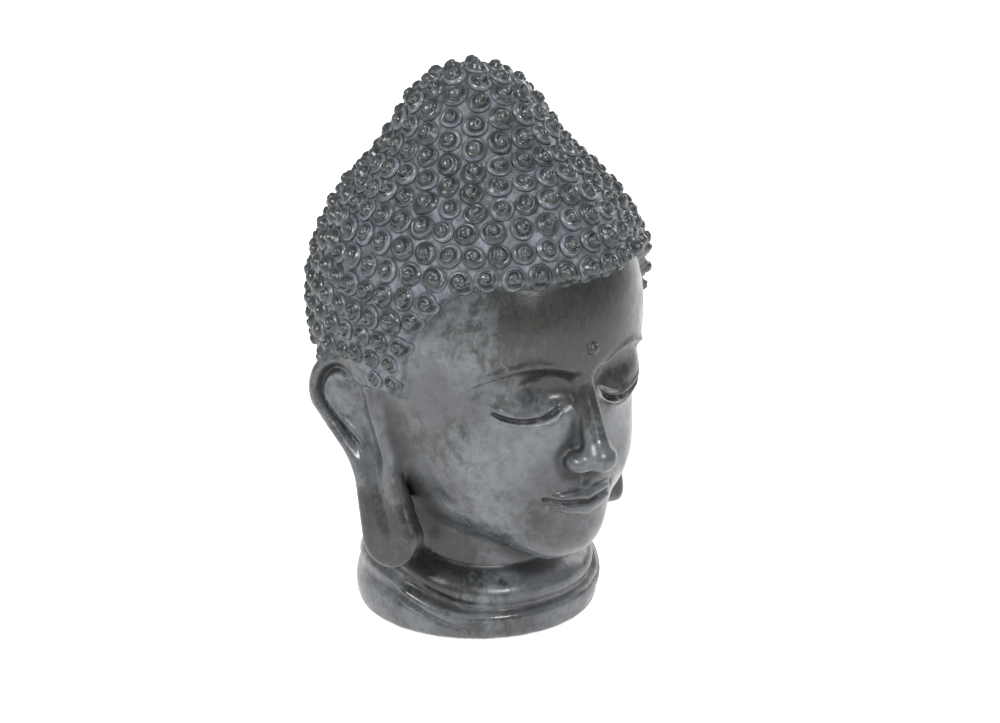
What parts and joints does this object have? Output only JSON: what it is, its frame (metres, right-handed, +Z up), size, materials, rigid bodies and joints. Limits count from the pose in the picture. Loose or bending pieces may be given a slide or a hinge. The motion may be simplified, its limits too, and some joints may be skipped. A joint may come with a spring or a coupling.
{
  "type": "stone buddha head",
  "caption": "Cast-stone head of a Buddha on its own neck, with rows of curls, a raised crown, long ears and closed eyes, standing on a flat underside.",
  "frame": {"origin": "middle of the head's box, on the surface it stands on", "axes": "+Z up, +Y towards the back of the head, -Y the way the face looks, +X the viewer's right when facing it"},
  "size_m": [0.1762, 0.2044, 0.292],
  "materials": {
    "cast_stone": "slate grey cast stone, brushed dark and sealed with a satin coat, paler in the valleys between the curls"
  },
  "bodies": {
    "root": {"buddha_head": "cast_stone"}
  },
  "joints": []
}
